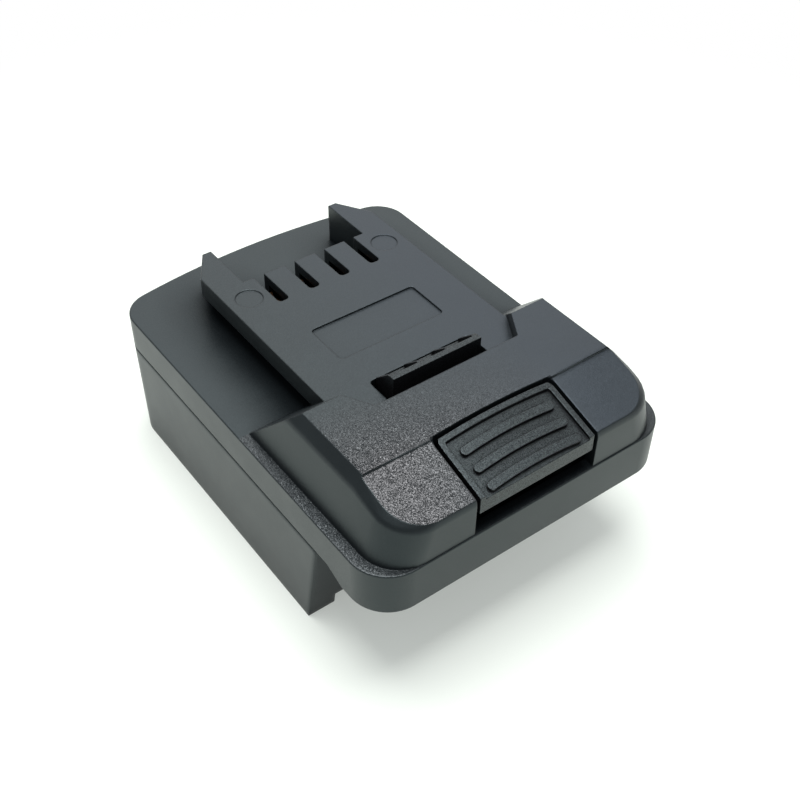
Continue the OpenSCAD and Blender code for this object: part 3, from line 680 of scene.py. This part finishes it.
def screw_shape(name, head_d, head_h, shank_d, length, pitch):
    """One tapping screw standing on its seat: pan head below, thread and point above."""
    sides = screw_sides
    crest = shank_d / 2
    depth = thread_depth * crest
    rows = [
        (-head_h, head_d * 0.30), (-head_h * 0.94, head_d * 0.38),
        (-head_h * 0.75, head_d * 0.45), (-head_h * 0.45, head_d * 0.49),
        (-0.1 * mm, head_d * 0.495), (0.0, head_d * 0.48),
    ]
    shape = bmesh.new()
    rings = []
    for height, radius in rows:
        rings.append([(radius, height)] * sides)
    steps = int(length / (pitch / 8))
    for i in range(steps + 1):
        height = length * i / steps
        to_point = (length - height) / (point_pitches * pitch)
        taper = min(1.0, to_point * (1 - point_least) + point_least)
        ring = []
        for j in range(sides):
            phase = (height / pitch - j / sides) % 1.0
            tooth = max(0.0, 1 - abs(phase - 0.5) / tooth_half)
            ring.append((taper * (crest - depth + depth * tooth), height))
        rings.append(ring)
    loops = []
    for ring in rings:
        loop = []
        for j, (radius, height) in enumerate(ring):
            turn = 2 * math.pi * j / sides
            corner = (radius * math.cos(turn), radius * math.sin(turn), height)
            loop.append(shape.verts.new(corner))
        loops.append(loop)
    for low_ring, high_ring in zip(loops, loops[1:]):
        for j in range(sides):
            k = (j + 1) % sides
            shape.faces.new((low_ring[j], low_ring[k], high_ring[k], high_ring[j]))
    shape.faces.new(list(reversed(loops[0])))
    shape.faces.new(loops[-1])
    mesh = bpy.data.meshes.new(name)
    shape.to_mesh(mesh)
    shape.free()
    screw = bpy.data.objects.new(name, mesh)
    bpy.context.scene.collection.objects.link(screw)
    cross = bmesh.new()
    for turn in (0, math.pi / 2):
        arm = bmesh.ops.create_cube(cross, size=1.0)["verts"]
        size = Matrix.Diagonal((head_d * 0.52, head_d * 0.13, head_h * 1.1, 1.0))
        lift = Matrix.Translation((0, 0, -head_h))
        bmesh.ops.transform(cross, matrix=Matrix.Rotation(turn, 4, "Z") @ lift @ size, verts=arm)
    cutter_mesh = bpy.data.meshes.new(name + "_recess")
    cross.to_mesh(cutter_mesh)
    cross.free()
    cutter = bpy.data.objects.new(name + "_recess", cutter_mesh)
    bpy.context.scene.collection.objects.link(cutter)
    recess = screw.modifiers.new("cross recess", "BOOLEAN")
    recess.object = cutter
    recess.operation = "DIFFERENCE"
    recess.solver = "EXACT"
    recess.use_self = True
    finished(screw)
    bpy.data.objects.remove(cutter)
    screw.data.set_sharp_from_angle(angle=math.radians(40))
    return screw


def repeated(name, places, single, material):
    """Copies of one screw at a few places, made by Geometry Nodes as a single mesh."""
    points = bpy.data.meshes.new(name)
    points.from_pydata(places, [], [])
    piece = bpy.data.objects.new(name, points)
    bpy.context.scene.collection.objects.link(piece)
    nodes = bpy.data.node_groups.new(name + "_copies", "GeometryNodeTree")
    face = nodes.interface
    face.new_socket("Places", in_out="INPUT", socket_type="NodeSocketGeometry")
    screw_input = face.new_socket("Screw", in_out="INPUT", socket_type="NodeSocketObject")
    face.new_socket("Screws", in_out="OUTPUT", socket_type="NodeSocketGeometry")
    given = nodes.nodes.new("NodeGroupInput").outputs
    shape = add(nodes, "GeometryNodeObjectInfo", Object=given["Screw"])
    copies = add(
        nodes, "GeometryNodeInstanceOnPoints",
        Points=given["Places"], Instance=shape.outputs["Geometry"],
    )
    real = add(nodes, "GeometryNodeRealizeInstances", Geometry=copies.outputs[0])
    coat = add(nodes, "GeometryNodeSetMaterial", Geometry=real.outputs[0], Material=material)
    add(nodes, "NodeGroupOutput", Screws=coat.outputs[0])
    copier = piece.modifiers.new("copies", "NODES")
    copier.node_group = nodes
    copier[screw_input.identifier] = single
    finished(piece)
    bpy.data.objects.remove(single)
    return piece


front_screw_x = 30.5 * mm
front_screw_y = -44 * mm
front_seat = 25.8 * mm
rear_screw_x = 29.2 * mm
rear_screw_y = 38 * mm
rear_seat = 5.4 * mm
housing_places = [
    (-front_screw_x, front_screw_y, front_seat), (front_screw_x, front_screw_y, front_seat),
    (-rear_screw_x, rear_screw_y, rear_seat), (rear_screw_x, rear_screw_y, rear_seat),
]
long_screw = screw_shape(
    "housing_screw", head_d=5.8 * mm, head_h=2.0 * mm,
    shank_d=2.88 * mm, length=12 * mm, pitch=1.1 * mm,
)
housing_set = repeated("housing_screws_threaded", housing_places, long_screw, screw_skin)
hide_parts("housing_screws")
carrier_screw_x = 10 * mm
carrier_screw_y = 10 * mm
carrier_seat = 30.5 * mm
carrier_places = [
    (-carrier_screw_x, carrier_screw_y, carrier_seat),
    (carrier_screw_x, carrier_screw_y, carrier_seat),
]
short_screw = screw_shape(
    "carrier_screw", head_d=5.0 * mm, head_h=1.6 * mm,
    shank_d=2.48 * mm, length=9 * mm, pitch=1.0 * mm,
)
carrier_set = repeated("carrier_screws_threaded", carrier_places, short_screw, screw_skin)
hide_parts("carrier_screws")
for screws in (housing_set, carrier_set):
    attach(screws, "housing")

# Floor and light
# A white sweep under the part, a wide softbox overhead, a weak card at the rear right, and a
# pale surround that is dimmer on the camera's side. The floor keeps the part's shadow.
floor_half = 3.0
floor_glow = 0.36
white_start = 0.11
white_full = 0.26
floor_mesh = bpy.data.meshes.new("white_floor")
floor_mesh.from_pydata(
    [(-floor_half, -floor_half, 0), (floor_half, -floor_half, 0),
     (floor_half, floor_half, 0), (-floor_half, floor_half, 0)],
    [], [(0, 1, 2, 3)],
)
floor = bpy.data.objects.new("white_floor", floor_mesh)
bpy.context.scene.collection.objects.link(floor)
paper = bpy.data.materials.new("matt_white_paper")
paper.use_nodes = True
tree = paper.node_tree
tree.nodes.clear()
ray = add(tree, "ShaderNodeLightPath")
matt = add(tree, "ShaderNodeBsdfDiffuse", Color=linear("#b9bdb7"))
seen = add(
    tree, "ShaderNodeMath", {"operation": "MAXIMUM"},
    _0=ray.outputs["Is Camera Ray"], _1=ray.outputs["Is Glossy Ray"],
)
shown = add(
    tree, "ShaderNodeMath", {"operation": "MAXIMUM"},
    _0=seen.outputs[0], _1=ray.outputs["Is Transmission Ray"],
)
lift = add(tree, "ShaderNodeMath", {"operation": "MULTIPLY"}, _0=shown.outputs[0], _1=floor_glow)
glow = add(tree, "ShaderNodeEmission", Color=linear("#fafffa"), Strength=lift.outputs[0])
paper_sum = add(tree, "ShaderNodeAddShader", _0=matt.outputs[0], _1=glow.outputs[0])
spot = add(tree, "ShaderNodeTexCoord").outputs["Object"]
distance = add(tree, "ShaderNodeVectorMath", {"operation": "LENGTH"}, _0=spot).outputs["Value"]
far_off = add(
    tree, "ShaderNodeMapRange", {"interpolation_type": "SMOOTHSTEP"},
    Value=distance, From_Min=white_start, From_Max=white_full,
).outputs[0]
far_white = add(tree, "ShaderNodeEmission", Color=linear("#ffffff"), Strength=1.0)
far_seen = add(
    tree, "ShaderNodeMath", {"operation": "MULTIPLY"}, _0=far_off, _1=shown.outputs[0]
).outputs[0]
sweep = add(
    tree, "ShaderNodeMixShader", _0=far_seen, _1=paper_sum.outputs[0], _2=far_white.outputs[0]
)
add(tree, "ShaderNodeOutputMaterial", Surface=sweep.outputs[0])
floor_mesh.materials.append(paper)


def softbox(name, place, aim, width, height, watts):
    """A rectangular lamp turned to face a point."""
    lamp = bpy.data.lights.new(name, "AREA")
    lamp.shape = "RECTANGLE"
    lamp.size = width
    lamp.size_y = height
    lamp.energy = watts
    holder = bpy.data.objects.new(name, lamp)
    bpy.context.scene.collection.objects.link(holder)
    holder.location = place
    holder.rotation_euler = (Vector(aim) - Vector(place)).to_track_quat("-Z", "Y").to_euler()


softbox(
    "overhead_softbox", place=(0.01, 0.06, 0.8), aim=(0.01, 0.06, 0.0),
    width=0.56, height=0.56, watts=10.0,
)
softbox(
    "rear_card", place=(0.34, 0.55, 0.58), aim=(0.0, 0.0, 0.03),
    width=0.6, height=0.5, watts=0.6,
)

overhead_start = 0.68
overhead_full = 0.88
window_direction = (0.55, 0.65, 0.52)
window_start = 0.45
window_full = 0.8
room_level = 0.22
fill_level = 0.6
world = bpy.data.worlds.new("pale_surround")
bpy.context.scene.world = world
world.use_nodes = True
tree = world.node_tree
tree.nodes.clear()
ray = add(tree, "ShaderNodeLightPath")
toward = add(tree, "ShaderNodeTexCoord").outputs["Generated"]
height = add(tree, "ShaderNodeSeparateXYZ", Vector=toward).outputs["Z"]
overhead = add(
    tree, "ShaderNodeMapRange", {"interpolation_type": "SMOOTHSTEP"},
    Value=height, From_Min=overhead_start, From_Max=overhead_full,
).outputs[0]
to_window = add(
    tree, "ShaderNodeVectorMath", {"operation": "DOT_PRODUCT"}, _0=toward, _1=window_direction
).outputs["Value"]
window = add(
    tree, "ShaderNodeMapRange", {"interpolation_type": "SMOOTHSTEP"},
    Value=to_window, From_Min=window_start, From_Max=window_full,
).outputs[0]
lit = add(tree, "ShaderNodeMath", {"operation": "MAXIMUM"}, _0=overhead, _1=window).outputs[0]
room = add(tree, "ShaderNodeMapRange", Value=lit, To_Min=room_level, To_Max=1.0).outputs[0]
white = add(
    tree, "ShaderNodeMath", {"operation": "MAXIMUM"},
    _0=ray.outputs["Is Camera Ray"], _1=ray.outputs["Is Transmission Ray"],
).outputs[0]
shown = add(
    tree, "ShaderNodeMath", {"operation": "MAXIMUM"}, _0=white, _1=ray.outputs["Is Glossy Ray"]
).outputs[0]
level = add(tree, "ShaderNodeMath", {"operation": "MAXIMUM"}, _0=white, _1=room).outputs[0]
fill = add(tree, "ShaderNodeBackground", Color=linear("#eef2f6"), Strength=fill_level)
surround = add(tree, "ShaderNodeBackground", Color=linear("#ffffff"), Strength=level)
choice = add(tree, "ShaderNodeMixShader", _0=shown, _1=fill.outputs[0], _2=surround.outputs[0])
add(tree, "ShaderNodeOutputWorld", Surface=choice.outputs[0])
bpy.context.scene.view_settings.view_transform = "Standard"

# Camera
# Stands where the photograph was taken from: in front, to the left and above,
# turned a little about its own axis, with the lens that the photograph's edges give.
camera_place = Vector((-115.8, -160.58, 204.45)) * mm
azimuth = math.radians(-37.32)
elevation = math.radians(42.8)
roll = math.radians(1.07)
level_back = Vector((math.sin(azimuth), -math.cos(azimuth), 0))
back = math.cos(elevation) * level_back + Vector((0, 0, math.sin(elevation)))
right = Vector((math.cos(azimuth), math.sin(azimuth), 0))
up = back.cross(right)
rolled_right = math.cos(roll) * right + math.sin(roll) * up
rolled_up = math.cos(roll) * up - math.sin(roll) * right
lens = bpy.data.cameras.new("camera")
lens.sensor_width = 36
lens.lens = 51.96
lens.clip_start = 0.01
camera = bpy.data.objects.new("camera", lens)
bpy.context.scene.collection.objects.link(camera)
turned = Matrix((rolled_right, rolled_up, back)).transposed().to_4x4()
camera.matrix_world = Matrix.Translation(camera_place) @ turned
bpy.context.scene.camera = camera
